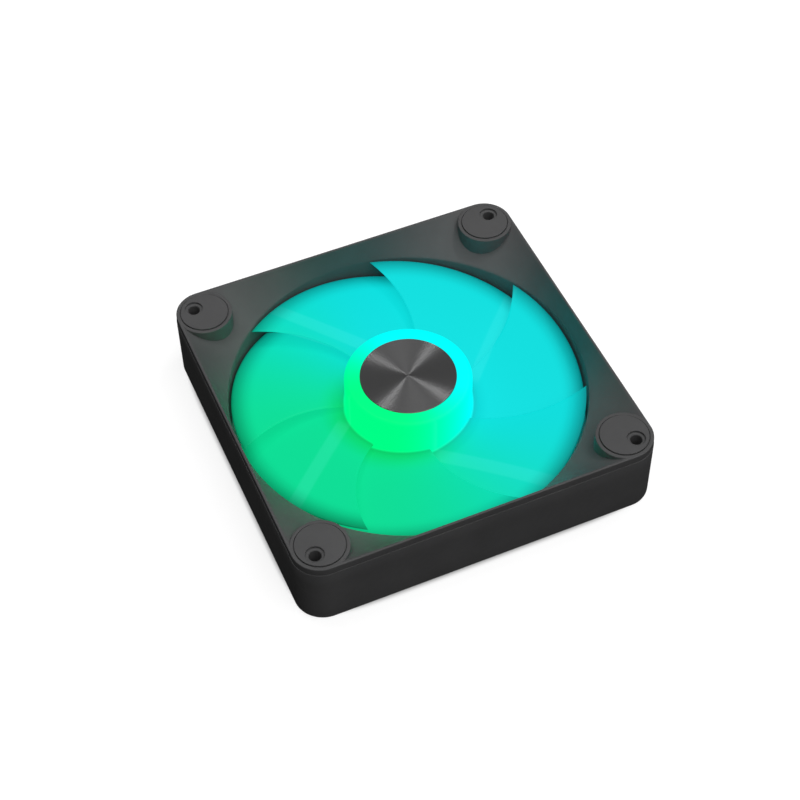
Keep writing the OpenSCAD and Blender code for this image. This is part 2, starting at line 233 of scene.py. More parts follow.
def make_spill_lights(pieces):
    """The rotor's glow on what is round it: a ring of small lights that shine on these pieces only."""
    receivers = bpy.data.collections.new("spill_receivers")
    for piece in pieces:
        receivers.objects.link(piece)
    for number in range(SPILL_COUNT):
        spill_light(number, math.tau * number / SPILL_COUNT, receivers)


# ---- node material helpers ----

NOISE_RANGE = (0.3, 0.7)
GRAIN_DEPTH = 0.1 * MM
LINE_DEPTH = 0.05 * MM
DISC_LINE_DEPTH = 0.02 * MM
FILM_DEPTH = 0.2 * MM


def new_material(name):
    material = bpy.data.materials.new(name)
    material.use_nodes = True
    tree = material.node_tree
    return material, tree, tree.nodes["Principled BSDF"]


def plug(socket, value):
    """Links another node's output to the socket, or sets a constant on it."""
    if isinstance(value, bpy.types.NodeSocket):
        socket.id_data.links.new(value, socket)
    else:
        socket.default_value = value


def set_inputs(node, **values):
    """Plugs sockets by name, with underscores for spaces."""
    for key, value in values.items():
        plug(node.inputs[key.replace("_", " ")], value)


def add_node(tree, kind, **values):
    node = tree.nodes.new(kind)
    for key, value in values.items():
        setattr(node, key, value)
    return node


def object_coords(tree):
    return tree.nodes.new("ShaderNodeTexCoord").outputs["Object"]


def object_parts(tree):
    parts = tree.nodes.new("ShaderNodeSeparateXYZ")
    set_inputs(parts, Vector=object_coords(tree))
    return parts.outputs


def noise(tree, coords, scale, detail=3):
    texture = tree.nodes.new("ShaderNodeTexNoise")
    set_inputs(texture, Vector=coords, Scale=scale, Detail=detail)
    return texture.outputs["Fac"]


def line_noise(tree, place, scale, detail):
    """A noise that changes along one measure only, which makes fine lines across it."""
    texture = add_node(tree, "ShaderNodeTexNoise", noise_dimensions="1D")
    set_inputs(texture, W=place, Scale=scale, Detail=detail)
    return texture.outputs["Fac"]


def ramp(tree, factor, stops):
    """A colour ramp from a list of (position, colour)."""
    node = tree.nodes.new("ShaderNodeValToRGB")
    elements = node.color_ramp.elements
    while len(elements) < len(stops):
        elements.new(0.5)
    for element, (position, color) in zip(elements, stops):
        element.position = position
        element.color = (*color, 1)
    set_inputs(node, Fac=factor)
    return node.outputs["Color"]


def map_range(tree, value, low, high, to_low, to_high, smooth=True):
    node = tree.nodes.new("ShaderNodeMapRange")
    node.interpolation_type = "SMOOTHSTEP" if smooth else "LINEAR"
    set_inputs(node, Value=value, From_Min=low, From_Max=high, To_Min=to_low, To_Max=to_high)
    return node.outputs["Result"]


def operation_node(tree, kind, operation, values):
    """A maths node, its sockets plugged with values in order."""
    node = add_node(tree, kind, operation=operation)
    for socket, value in zip(node.inputs, values):
        plug(socket, value)
    return node


def math_node(tree, operation, *values):
    return operation_node(tree, "ShaderNodeMath", operation, values).outputs["Value"]


def vector_node(tree, operation, *values):
    return operation_node(tree, "ShaderNodeVectorMath", operation, values).outputs["Vector"]


def vector_measure(tree, operation, *values):
    return operation_node(tree, "ShaderNodeVectorMath", operation, values).outputs["Value"]


def bump(tree, shader, height, strength, distance):
    node = tree.nodes.new("ShaderNodeBump")
    set_inputs(node, Height=height, Strength=strength, Distance=distance)
    set_inputs(shader, Normal=node.outputs["Normal"])


def two_tones(tree, shader, factor, dark, light, ends=NOISE_RANGE):
    """Base colour: dark up to the first end, light from the second end on."""
    set_inputs(shader, Base_Color=ramp(tree, factor, [*zip(ends, (dark, light))]))


def uneven_roughness(tree, shader, texture, low, high):
    """Roughness that follows a noise between low and high."""
    set_inputs(shader, Roughness=map_range(tree, texture, *NOISE_RANGE, low, high))


def grainy(name, dark, light, roughness, grain, specular=0.5, metallic=0):
    """A moulded or coated surface: two close tones in slow patches, and a grain of (scale, strength)."""
    material, tree, shader = new_material(name)
    coords = object_coords(tree)
    patches = noise(tree, coords, scale=60, detail=4)
    two_tones(tree, shader, patches, dark, light, ends=(0.35, 0.65))
    spots = noise(tree, coords, scale=400)
    uneven_roughness(tree, shader, spots, roughness - 0.04, roughness + 0.04)
    set_inputs(shader, Specular_IOR_Level=specular, Metallic=metallic)
    scale, strength = grain
    bump(tree, shader, noise(tree, coords, scale), strength, GRAIN_DEPTH)
    return material


# ---- mesh helpers ----

ON_AXIS = 1e-7


def polar(radius, angle):
    return radius * math.cos(angle), radius * math.sin(angle)


def lerp(a, b, t):
    return a + (b - a) * t


def mesh_object(name, points, faces):
    mesh = bpy.data.meshes.new(name)
    mesh.from_pydata(points, [], faces)
    return add_object(name, mesh)


def outward(obj):
    """Makes every face normal point out of the solid."""
    solid = bmesh.new()
    solid.from_mesh(obj.data)
    bmesh.ops.recalc_face_normals(solid, faces=solid.faces)
    solid.to_mesh(obj.data)
    solid.free()
    return obj


def smooth_by_angle(obj, degrees=32):
    obj.data.polygons.foreach_set("use_smooth", [True] * len(obj.data.polygons))
    obj.data.set_sharp_from_angle(angle=math.radians(degrees))
    return obj


def rounded(points, steps=5):
    """The outline through (x, y, radius) corners, each corner rounded by an arc of its radius."""
    outline = []
    count = len(points)
    for i, (x, y, radius) in enumerate(points):
        corner = Vector((x, y))
        before = Vector(points[i - 1][:2]) - corner
        after = Vector(points[(i + 1) % count][:2]) - corner
        if radius <= 0:
            outline.append((x, y))
            continue
        before.normalize()
        after.normalize()
        half = before.angle(after) / 2
        centre = corner + (before + after).normalized() * radius / math.sin(half)
        first = corner + before * radius / math.tan(half) - centre
        last = corner + after * radius / math.tan(half) - centre
        sweep = first.angle_signed(last)
        for k in range(steps + 1):
            spoke = Matrix.Rotation(-sweep * k / steps, 2) @ first
            outline.append(tuple(centre + spoke))
    return outline


def loop_faces(a, b, count):
    """The faces between two loops of count points, which start at point a and at point b."""
    return [[a + k, a + (k + 1) % count, b + (k + 1) % count, b + k] for k in range(count)]


def prism_faces(count):
    """The two ends and the sides of a solid between two loops of count points."""
    return [list(range(count)), list(range(count, 2 * count)), *loop_faces(0, count, count)]


def lathe(name, profile, segments=96, centre=(0, 0)):
    """A closed (radius, z) outline turned about Z. Points on the axis become single points."""
    points = []
    rings = []
    for radius, z in profile:
        if radius < ON_AXIS:
            rings.append([len(points)] * segments)
            points.append((centre[0], centre[1], z))
            continue
        rings.append(list(range(len(points), len(points) + segments)))
        for k in range(segments):
            x, y = polar(radius, math.tau * k / segments)
            points.append((centre[0] + x, centre[1] + y, z))
    faces = []
    for a, b in zip(rings, rings[1:] + rings[:1]):
        for k in range(segments):
            n = (k + 1) % segments
            corners = [a[k], a[n], b[n], b[k]]
            unique = list(dict.fromkeys(corners))
            if len(unique) > 2:
                faces.append(unique)
    return outward(mesh_object(name, points, faces))


def column(radius, low, high):
    """The (radius, z) outline of a plain cylinder, for lathe."""
    return [(0, low), (radius, low), (radius, high), (0, high)]


def drill(radius, low, high, chamfer, past):
    """The (radius, z) outline of a cutter for a hole with chamfered mouths at low and high."""
    mouth = radius + chamfer
    profile = [(0, low - past), (mouth, low - past), (mouth, low), (radius, low + chamfer)]
    return profile + [(radius, high - chamfer), (mouth, high), (mouth, high + past), (0, high + past)]


def rectangle(start, end, side, width):
    """The outline of a straight run along X from start to end, side away from the X axis."""
    half = width / 2
    return [(start, side - half), (end, side - half), (end, side + half), (start, side + half)]


def prism(name, outline, low, high):
    """A flat outline raised from z = low to z = high."""
    points = [(x, y, z) for z in (low, high) for x, y in outline]
    return outward(mesh_object(name, points, prism_faces(len(outline))))


def merged(name, objects):
    """One object from several, each with its own closed skin."""
    whole = bmesh.new()
    for obj in objects:
        obj.data.transform(obj.matrix_world)
        whole.from_mesh(obj.data)
        bpy.data.objects.remove(obj)
    mesh = bpy.data.meshes.new(name)
    whole.to_mesh(mesh)
    whole.free()
    return add_object(name, mesh)


def turned(obj, degrees):
    """The object's mesh turned about the spin axis."""
    obj.data.transform(Matrix.Rotation(math.radians(degrees), 4, "Z"))
    return obj


def combine(target, tool, operation):
    """Joins tool to target, or cuts it out, for good."""
    modifier = target.modifiers.new("combine", "BOOLEAN")
    modifier.operation = operation
    modifier.solver = "EXACT"
    modifier.object = tool
    graph = bpy.context.evaluated_depsgraph_get()
    mesh = bpy.data.meshes.new_from_object(target.evaluated_get(graph))
    target.modifiers.clear()
    target.data = mesh
    bpy.data.objects.remove(tool)
    return target


def cut(target, tool):
    return combine(target, tool, "DIFFERENCE")


def join(target, tool):
    return combine(target, tool, "UNION")


def finish_piece(obj, body, slot, material, *nodes):
    """Gives a piece its material and its body, and hides the CAD nodes that it stands for. Its slot is not
    used.
    """
    obj.data.materials.clear()
    obj.data.materials.append(material)
    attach(obj, body)
    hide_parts(*nodes)


# ---- the frame ----

SIDE_STEPS = 64
CORNER_STEPS = 20
WALL_EDGE = 0.5 * MM
RIM_EDGE = 0.35 * MM
BEZEL_EDGE = 0.2 * MM
FINE_EDGE = 0.12 * MM
STRUT_EDGES = (0.3 * MM, 1.3 * MM)
CHANNEL_EDGES = (0, 0.5 * MM)
HOLE_CHAMFER = 0.25 * MM
PAD_CHAMFER = 0.15 * MM
BEZEL_START = 0.03
BEZEL_END = 0.955
STEP_RISE = 0.02 * MM

# Small offsets between parts that are joined or cut: booleans fail on faces and edges that coincide.
BOSS_INSET = 0.05 * MM
BOSS_SINK = 0.03 * MM
STRUT_SINK = 0.04 * MM
ROOM_SLACK = 0.03 * MM
BASE_CUT_TURN = 1


def base_outline():
    """(point, outward normal) round the frame's outer edge, counter-clockwise from +X."""
    side_limit = math.atan2(HALF_W - CORNER_R, HALF_W)
    quarter = []
    for k in range(SIDE_STEPS):
        angle = side_limit * (2 * k / SIDE_STEPS - 1)
        quarter.append((Vector((HALF_W, HALF_W * math.tan(angle))), Vector((1, 0))))
    for k in range(CORNER_STEPS):
        angle = math.pi / 2 * k / CORNER_STEPS
        normal = Vector(polar(1, angle))
        quarter.append((Vector((BOSS_C, BOSS_C)) + normal * CORNER_R, normal))
    whole = []
    for turn in range(4):
        spin = Matrix.Rotation(turn * math.pi / 2, 2)
        whole += [(spin @ point, spin @ normal) for point, normal in quarter]
    return whole


OUTLINE = base_outline()


def outer_ring(inset, z):
    return [Vector((*(point - normal * inset), z)) for point, normal in OUTLINE]


def bore_ring(radius, z):
    return [Vector((*(point.normalized() * radius), z)) for point, _ in OUTLINE]


def mixed_ring(a, b, share):
    return [p.lerp(q, share) for p, q in zip(a, b)]


def soft_edge(before, corner, after, steps=4):
    """Rings that round the edge where two faces meet at corner."""
    rings = []
    for k in range(steps + 1):
        t = k / steps
        rings.append(mixed_ring(mixed_ring(before, corner, t), mixed_ring(corner, after, t), t))
    return rings


def bezel_ring(share):
    rim = outer_ring(STEP_D + RIM_W, FRONT_Z)
    throat = bore_ring(BORE_R, THROAT_Z)
    return mixed_ring(rim, throat, share)


def wall_rings():
    """The outer wall, from the back up to the small step below the rim."""
    ledge_z = FRONT_Z - STEP_H
    rings = soft_edge(
        outer_ring(WALL_EDGE, REAR_Z),
        outer_ring(0, REAR_Z),
        outer_ring(0, REAR_Z + WALL_EDGE),
    )
    rings += [outer_ring(0, lerp(REAR_Z + WALL_EDGE, ledge_z, k / 4)) for k in (1, 2, 3)]
    rings += soft_edge(
        outer_ring(0, ledge_z - FINE_EDGE),
        outer_ring(0, ledge_z),
        outer_ring(FINE_EDGE, ledge_z),
        2,
    )
    return rings + [outer_ring(STEP_D, ledge_z + STEP_RISE)]


def bezel_rings():
    """The rim and the bezel that slopes down from it."""
    rings = soft_edge(
        outer_ring(STEP_D, FRONT_Z - RIM_EDGE),
        outer_ring(STEP_D, FRONT_Z),
        outer_ring(STEP_D + RIM_EDGE, FRONT_Z),
    )
    rim = outer_ring(STEP_D + RIM_W - BEZEL_EDGE, FRONT_Z)
    rings += soft_edge(rim, bezel_ring(0), bezel_ring(BEZEL_START), 3)
    return rings + [bezel_ring(k / 10) for k in range(1, 10)]


def bore_rings():
    """The bore, from the foot of the bezel to the flare at the back."""
    throat_z = THROAT_Z - WALL_EDGE
    flare_r = BORE_R + FLARE_W
    flare_z = REAR_Z + FLARE_H
    rings = soft_edge(bezel_ring(BEZEL_END), bezel_ring(1), bore_ring(BORE_R, throat_z), 5)
    rings += [bore_ring(BORE_R, lerp(throat_z, flare_z, k / 4)) for k in (1, 2, 3)]
    rings += soft_edge(
        bore_ring(BORE_R, flare_z + WALL_EDGE),
        bore_ring(BORE_R, flare_z),
        bore_ring(BORE_R + (flare_r - BORE_R) / 6, flare_z - WALL_EDGE),
        2,
    )
    return rings + soft_edge(
        bore_ring(flare_r - FINE_EDGE, REAR_Z + 2 * FINE_EDGE),
        bore_ring(flare_r, REAR_Z),
        bore_ring(flare_r + 2 * FINE_EDGE, REAR_Z),
        3,
    )


def ring_solid(name, rings):
    """A closed skin through rings of points, the last ring joined to the first."""
    count = len(rings[0])
    points = [p for ring in rings for p in ring]
    faces = []
    for a in range(len(rings)):
        b = (a + 1) % len(rings)
        faces += loop_faces(a * count, b * count, count)
    return outward(mesh_object(name, points, faces))


def bar(name, width, low, high, edges, start, end):
    """A straight bar along X beside the spin axis; edges are the radii of its low and high edges."""
    half = width / 2
    low_edge, high_edge = edges
    section = rounded([
        (-half, low, low_edge),
        (half, low, low_edge),
        (half, high, high_edge),
        (-half, high, high_edge),
    ])
    points = [(x, side - STRUT_OFFSET, z) for x in (start, end) for side, z in section]
    return outward(mesh_object(name, points, prism_faces(len(section))))


def boss(place):
    """A corner boss: a cylinder from back to front with softened edges."""
    radius = BOSS_R - BOSS_INSET
    low = REAR_Z + BOSS_SINK
    high = FRONT_Z - BOSS_SINK
    profile = rounded([(0, low, 0), (radius, low, RIM_EDGE), (radius, high, RIM_EDGE), (0, high, 0)])
    return lathe("boss", profile, 128, (place[0] * BOSS_C, place[1] * BOSS_C))


def strut(angle):
    """One strut, with its edges rounded, in its own direction past the motor base."""
    low = REAR_Z + STRUT_SINK
    high = REAR_Z + STRUT_H
    return turned(bar("strut", STRUT_W, low, high, STRUT_EDGES, STRUT_START, STRUT_END), angle)


def struts():
    """The four struts, cut away inside the motor base."""
    whole = merged("struts", [strut(angle) for angle in STRUT_ANGLES])
    room = column(BASE_R - BASE_WALL + ROOM_SLACK, FLOOR_TOP - ROOM_SLACK, 2 * BASE_TOP)
    return cut(whole, lathe("room", room, 150))


def base_solid():
    """The motor base: a cup with a ledge for the circuit board and a boss for the bearing tube."""
    inner = BASE_R - BASE_WALL
    soft = 0.4 * MM
    profile = rounded([
        (0, REAR_Z, 0),
        (BASE_R, REAR_Z, soft),
        (BASE_R, BASE_TOP, soft),
        (inner, BASE_TOP, soft),
        (inner, LEDGE_TOP, 0),
        (inner - LEDGE_W, LEDGE_TOP, 0.15 * MM),
        (inner - LEDGE_W, FLOOR_TOP, 0),
        (TUBE_BOSS_R, FLOOR_TOP, 0.5 * MM),
        (TUBE_BOSS_R, TUBE_BOSS_TOP, 0.3 * MM),
        (0, TUBE_BOSS_TOP, 0),
    ], 4)
    return lathe("base", profile, 160)


def pocket_tool():
    """What the cored pockets leave empty behind the bezel's corners."""
    low = REAR_Z - 1 * MM
    high = REAR_Z + POCKET_D
    inset = HALF_W - POCKET_WALL
    radius = CORNER_R - POCKET_WALL
    outline = rounded([(x * inset, y * inset, radius) for x, y in CORNERS], 10)
    tool = prism("pockets", outline, low, high)
    inner = BORE_R + POCKET_WALL
    below = low - 1 * MM
    above = high + 1 * MM
    cut(tool, lathe("core", column(inner, below, above), 256))
    post = column(BOSS_R, below, above)
    posts = [lathe("post", post, 64, (x * BOSS_C, y * BOSS_C)) for x, y in CORNERS]
    cut(tool, merged("posts", posts))
    web = rectangle(BORE_R, BORE_R + 2 * BOSS_WEB, 0, BOSS_WEB)
    webs = [turned(prism("web", web, below, above), angle) for angle in STRUT_ANGLES]
    cut(tool, merged("webs", webs))
    guide = rectangle(0, 2 * HALF_W, -STRUT_OFFSET, STRUT_W)
    cut(tool, turned(prism("guide", guide, below, above), STRUT_ANGLES[0]))
    return tool


def recess_tools():
    """Cutters for the eight pad recesses, each with a softened mouth."""
    tools = []
    radius = PAD_R + PAD_GAP
    lip = FINE_EDGE
    for x, y in CORNERS:
        for face, way in ((FRONT_Z, 1), (REAR_Z, -1)):
            floor = face - way * RECESS_D
            top = face + way * 2 * MM
            profile = [(0, floor), (radius, floor), (radius, face - way * lip)]
            profile += [(radius + 2 * lip, face + way * lip), (radius + 2 * lip, top), (0, top)]
            tools.append(lathe("recess", profile, 96, (x * BOSS_C, y * BOSS_C)))
    return merged("recesses", tools)


def hole_tools():
    """Cutters for the screw holes, with a small chamfer at both mouths."""
    profile = drill(HOLE_R, REAR_Z + RECESS_D, FRONT_Z - RECESS_D, HOLE_CHAMFER, past=2 * MM)
    tools = [lathe("hole", profile, 64, (x * HOLE_C, y * HOLE_C)) for x, y in CORNERS]
    return merged("holes", tools)


def base_tool():
    """The bearing tube's bore and the label's shallow recess, in one turned cutter."""
    label = LABEL_R + 0.2 * MM
    low = REAR_Z - 1 * MM
    step = REAR_Z + LABEL_RECESS
    high = TUBE_BOSS_TOP + 1 * MM
    profile = [(0, low), (label, low), (label, step), (TUBE_R, step), (TUBE_R, high), (0, high)]
    return turned(lathe("base_cut", profile, 128), BASE_CUT_TURN)


def channel_tool():
    """The cable's way out: a channel in the back of one strut, from the motor base through the wall."""
    low = REAR_Z - 1 * MM
    high = REAR_Z + CHANNEL_D
    channel = bar("channel", CHANNEL_W, low, high, CHANNEL_EDGES, CHANNEL_START, 2 * HALF_W)
    return turned(channel, STRUT_ANGLES[0])


def make_frame(material):
    """The frame in one solid, which stands for the CAD frame."""
    shell = ring_solid("frame_shell", wall_rings() + bezel_rings() + bore_rings())
    cut(shell, pocket_tool())
    join(shell, merged("bosses", [boss(place) for place in CORNERS]))
    join(shell, struts())
    join(shell, base_solid())
    cut(shell, recess_tools())
    cut(shell, base_tool())
    cut(shell, hole_tools())
    cut(shell, channel_tool())
    smooth_by_angle(shell)
    finish_piece(shell, "housing", "frame", material, "frame")
    return shell


# ---- pads ----


def make_pad(name, place, low, way):
    """A round pad with a softened face towards way and a hole for the screw head."""
    high = low + PAD_T
    tight = FINE_EDGE / 2
    top_soft, low_soft = (FINE_EDGE, tight) if way > 0 else (tight, FINE_EDGE)
    profile = rounded([(0, low, 0), (PAD_R, low, low_soft), (PAD_R, high, top_soft), (0, high, 0)])
    pad = lathe(name, profile, 128, (place[0] * BOSS_C, place[1] * BOSS_C))
    hole = drill(PAD_HOLE_R, low, high, PAD_CHAMFER, past=1 * MM)
    cut(pad, lathe("pad_hole", hole, 64, (place[0] * HOLE_C, place[1] * HOLE_C)))
    smooth_by_angle(pad)
    return pad


def make_pads(material):
    pads = []
    for number, place in enumerate(CORNERS, 1):
        for side, way in (("front", 1), ("rear", -1)):
            node = f"{side}_pad_{number}"
            pad = make_pad(node + "_rubber", place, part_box(node)[0].z, way)
            finish_piece(pad, "housing", "pad", material, node)
            pads.append(pad)
    return pads


# ---- the impeller ----

STATIONS = 40
CHORD_STEPS = 40
BLADE_COVER = 1.16
BLADE_SPAN = math.tau / BLADES * BLADE_COVER
BLADE_SWEEP = math.radians(20)
BLADE_CURVE = 1.4
CAMBER = 0.45
ROOT_R = 23.2 * MM
TE_Z = (8.6 * MM, 10.4 * MM)
LE_Z = (12 * MM, 20.4 * MM)
ROOT_T = 2 * MM
TIP_T = 1.3 * MM
EDGE_SHARE = 0.55
EDGE_R = 0.9 * MM
FILLET_R = 1 * MM


def bulge(distance, radius):
    """Height of a round edge of that radius, from 0 at the edge to 1 past it."""
    if distance >= radius:
        return 1.0
    share = 1 - max(distance, 0) / radius
    return math.sqrt(max(0.0, 1 - share * share))


def root_fillet(distance):
    if distance >= FILLET_R:
        return 0.0
    inside = FILLET_R - max(distance, 0)
    return FILLET_R - math.sqrt(max(0.0, FILLET_R * FILLET_R - inside * inside))


def blade_point(t, u, side):
    """A point on a blade's skin: t from root to tip, u from trailing to leading edge, side +1 or -1."""
    radius = lerp(ROOT_R, TIP_R, t)
    angle = BLADE_SWEEP * t ** BLADE_CURVE + BLADE_SPAN * u
    rise = lerp(LE_Z[0] - TE_Z[0], LE_Z[1] - TE_Z[1], t)
    middle = lerp(TE_Z[0], TE_Z[1], t) + rise * ((1 + CAMBER) * u - CAMBER * u * u)
    slope = rise * (1 + CAMBER - 2 * CAMBER * u) / (radius * BLADE_SPAN)
    chord = radius * BLADE_SPAN * math.hypot(1, slope)
    thick = lerp(ROOT_T, TIP_T, t) / 2 * lerp(EDGE_SHARE, 1, 4 * u * (1 - u))
    edge = bulge(min(u, 1 - u) * chord, EDGE_R)
    tip = bulge(TIP_R - radius, EDGE_R)
    fillet = root_fillet(radius - HUB_R) * math.sqrt(max(0.0, math.sin(math.pi * u)))
    half = (thick * edge * tip + fillet) * math.hypot(1, slope)
    return Vector((*polar(radius, angle), middle + side * half))


def eased(step, steps):
    """Even steps that gather towards both ends."""
    return 0.5 - 0.5 * math.cos(math.pi * step / steps)


def blade_solid():
    """One blade as a closed skin: a section loop at each station, and caps at the root and tip."""
    us = [eased(k, CHORD_STEPS) for k in range(CHORD_STEPS + 1)]
    ts = [math.sin(math.pi / 2 * k / STATIONS) for k in range(STATIONS + 1)]
    points = []
    for t in ts:
        points += [blade_point(t, u, 1) for u in us]
        points += [blade_point(t, u, -1) for u in reversed(us[1:-1])]
    loop = 2 * CHORD_STEPS
    faces = []
    for a in range(STATIONS):
        faces += loop_faces(a * loop, (a + 1) * loop, loop)
    for base in (0, STATIONS * loop):
        for k in range(CHORD_STEPS):
            upper = [base + k, base + k + 1]
            lower = [base + (loop - k - 1) % loop, base + (loop - k) % loop]
            faces.append(list(dict.fromkeys(upper + lower)))
    return outward(mesh_object("blade", points, faces))


def hub_solid():
    """The hub: a cup open to the rear, with a recess in its face for the disc."""
    recess = DISC_R + DISC_GAP
    inner = HUB_R - HUB_WALL
    profile = rounded([
        (0, HUB_CEILING, 0),
        (inner, HUB_CEILING, 0.5 * MM),
        (inner, HUB_BOTTOM, 0.3 * MM),
        (HUB_R, HUB_BOTTOM, 0.4 * MM),
        (HUB_R, HUB_TOP, HUB_FILLET),
        (recess, HUB_TOP, 0.12 * MM),
        (recess, HUB_TOP - DISC_T, 0),
        (0, HUB_TOP - DISC_T, 0),
    ], 8)
    return lathe("hub", profile, 192)


def hub_ribs():
    """Ribs inside the hub that centre the steel yoke."""
    ribs = []
    outline = rectangle(YOKE_R, HUB_R - HUB_WALL / 2, 0, RIB_W)
    for k in range(RIB_COUNT):
        rib = prism("rib", outline, RIB_Z, HUB_CEILING + 1 * MM)
        ribs.append(turned(rib, (k + 0.5) * 360 / RIB_COUNT))
    return merged("ribs", ribs)


def make_impeller(material):
    impeller = hub_solid()
    impeller.name = "lit_impeller"
    blades = [turned(blade_solid(), 360 / BLADES * k) for k in range(BLADES)]
    join(impeller, merged("blades", blades))
    join(impeller, hub_ribs())
    past = 5 * MM
    bore = column(BUSHING_R, HUB_CEILING - past, BUSHING_TOP)
    cut(impeller, lathe("bushing_bore", bore, 64))
    smooth_by_angle(impeller, 40)
    finish_piece(impeller, "rotor", "impeller", material, "impeller")


def make_hub_disc(material):
    """The metal disc in the hub's face, with a fine chamfer round its edge."""
    low = HUB_TOP - DISC_T
    edge = 0.15 * MM
    profile = [(0, low), (DISC_R, low), (DISC_R, HUB_TOP - edge), (DISC_R - edge, HUB_TOP)]
    profile += [(DISC_R * share / 6, HUB_TOP) for share in (5, 4, 3, 2, 1, 0)]
    disc = lathe("brushed_disc", profile, 192)
    smooth_by_angle(disc)
    finish_piece(disc, "rotor", "hub_disc", material, "hub_disc")


# ---- coils, diodes and the board's parts ----

WIRE_TURNS = 19
COIL_CORNER = 1.6 * MM
COIL_HOLE = (2.05 * MM, 4.3 * MM)
COIL_LENGTH = 7.6 * MM
COIL_WIDTH = 10.1 * MM
LOBE_STEPS = 6
BOARD_TOP = 4.7 * MM
LED_R = 22.4 * MM
LED_SIZE = (1.6 * MM, 2 * MM, 1 * MM)
LED_COUNT = 12

# Places on the board are (degrees round the spin axis, distance from it).
HALL_PLACE = (20, 19.2 * MM)
HALL_SIZE = (1.5 * MM, 4 * MM, 3.6 * MM)
DRIVER_PLACE = (315, 14 * MM)
DRIVER_SIZE = (4 * MM, 5 * MM, 1.4 * MM)
SMALL_SIZE = (0.8 * MM, 1.6 * MM, 0.6 * MM)
SMALL_ANGLES = (64, 76, 154, 166, 244, 256)
LARGE_SIZE = (1.25 * MM, 2 * MM, 1 * MM)
LARGE_ANGLES = (294, 324, 354)
SMALL_R = 17.2 * MM
LARGE_R = 18.6 * MM
BOARD_PARTS = [(angle, SMALL_R, SMALL_SIZE) for angle in SMALL_ANGLES]
BOARD_PARTS += [(angle, LARGE_R, LARGE_SIZE) for angle in LARGE_ANGLES]


def box_outline(half_x, half_y, radius):
    corners = ((1, -1), (1, 1), (-1, 1), (-1, -1))
    return [(x * half_x, y * half_y, radius) for x, y in corners]


def upright(outline, x):
    """A (side, z) outline stood up at distance x along X."""
    return [Vector((x, side, z)) for side, z in outline]


def wound_coil(node, material):
    """A coil of round wire: its outside is ribbed by the turns that lie side by side."""
    low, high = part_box(node)
    middle = (low + high) / 2
    angle = math.degrees(math.atan2(middle.y, middle.x))
    inner = Vector((middle.x, middle.y)).length - COIL_LENGTH / 2
    half_w = min(high.x - low.x, high.y - low.y, key=lambda w: abs(w - COIL_WIDTH)) / 2
    half_h = (high.z - low.z) / 2
    wire_r = COIL_LENGTH / WIRE_TURNS / 2
    rings = []
    steps = WIRE_TURNS * LOBE_STEPS
    for k in range(steps + 1):
        x = inner + COIL_LENGTH * k / steps
        share = 2 * (k % LOBE_STEPS) / LOBE_STEPS - 1
        depth = wire_r * (1 - math.sqrt(max(0.0, 1 - share * share)))
        outline = rounded(box_outline(half_w - depth, half_h - depth, COIL_CORNER - depth))
        rings.append(upright(outline, x))
    for x in (inner + COIL_LENGTH, inner):
        rings.append(upright(rounded(box_outline(*COIL_HOLE, 0.2 * MM)), x))
    coil = turned(ring_solid(node + "_wound", rings), angle)
    coil.data.transform(Matrix.Translation((0, 0, middle.z)))
    smooth_by_angle(coil, 50)
    finish_piece(coil, "housing", "winding", material, node)


def block(name, size, centre, radius):
    """A box with rounded upright edges, centred on centre in X and Y, standing on its z."""
    outline = rounded(box_outline(size[0] / 2, size[1] / 2, radius), 3)
    placed = [(x + centre[0], y + centre[1]) for x, y in outline]
    return prism(name, placed, centre[2], centre[2] + size[2])


def bevelled(obj, width):
    modifier = obj.modifiers.new("soft_edges", "BEVEL")
    modifier.width = width
    modifier.segments = 2
    modifier.limit_method = "ANGLE"
    return obj


def make_leds(body_material, lens_material):
    """Each diode is a white package with a round clear lens in its top."""
    bodies = []
    lenses = []
    long, wide, high = LED_SIZE
    body_size = (long, wide, high * 0.92)
    foot = BOARD_TOP + high * 0.9
    radius = long * 0.38
    lens = [(0, foot), (radius, foot), (radius * 0.8, foot + high * 0.08), (0, BOARD_TOP + high)]
    for k in range(LED_COUNT):
        angle = 360 / LED_COUNT * k
        body = block("led", body_size, (LED_R, 0, BOARD_TOP), 0.1 * MM)
        bodies.append(turned(body, angle))
        lenses.append(turned(lathe("lens", lens, 24, (LED_R, 0)), angle))
    packages = bevelled(merged("led_bodies", bodies), 0.05 * MM)
    finish_piece(packages, "housing", "leds", body_material, "leds")
    domes = smooth_by_angle(merged("led_lenses", lenses))
    finish_piece(domes, "housing", "leds", lens_material, "leds")


def make_hall_sensor(body_material, leg_material):
    """A small package held off the board by three legs."""
    angle, radius = HALL_PLACE
    lift = 0.6 * MM
    size = (HALL_SIZE[0], HALL_SIZE[1], HALL_SIZE[2] - lift)
    body = turned(block("hall_body", size, (radius, 0, BOARD_TOP + lift), 0.35 * MM), angle)
    leg_size = (0.3 * MM, 0.4 * MM, lift * 1.5)
    sides = (-1.2 * MM, 0, 1.2 * MM)
    legs = [block("leg", leg_size, (radius, side, BOARD_TOP), 0.05 * MM) for side in sides]
    finish_piece(bevelled(body, 0.12 * MM), "housing", "chip", body_material, "hall_sensor")
    hall_legs = turned(merged("hall_legs", legs), angle)
    finish_piece(hall_legs, "housing", "chip", leg_material, "hall_sensor")


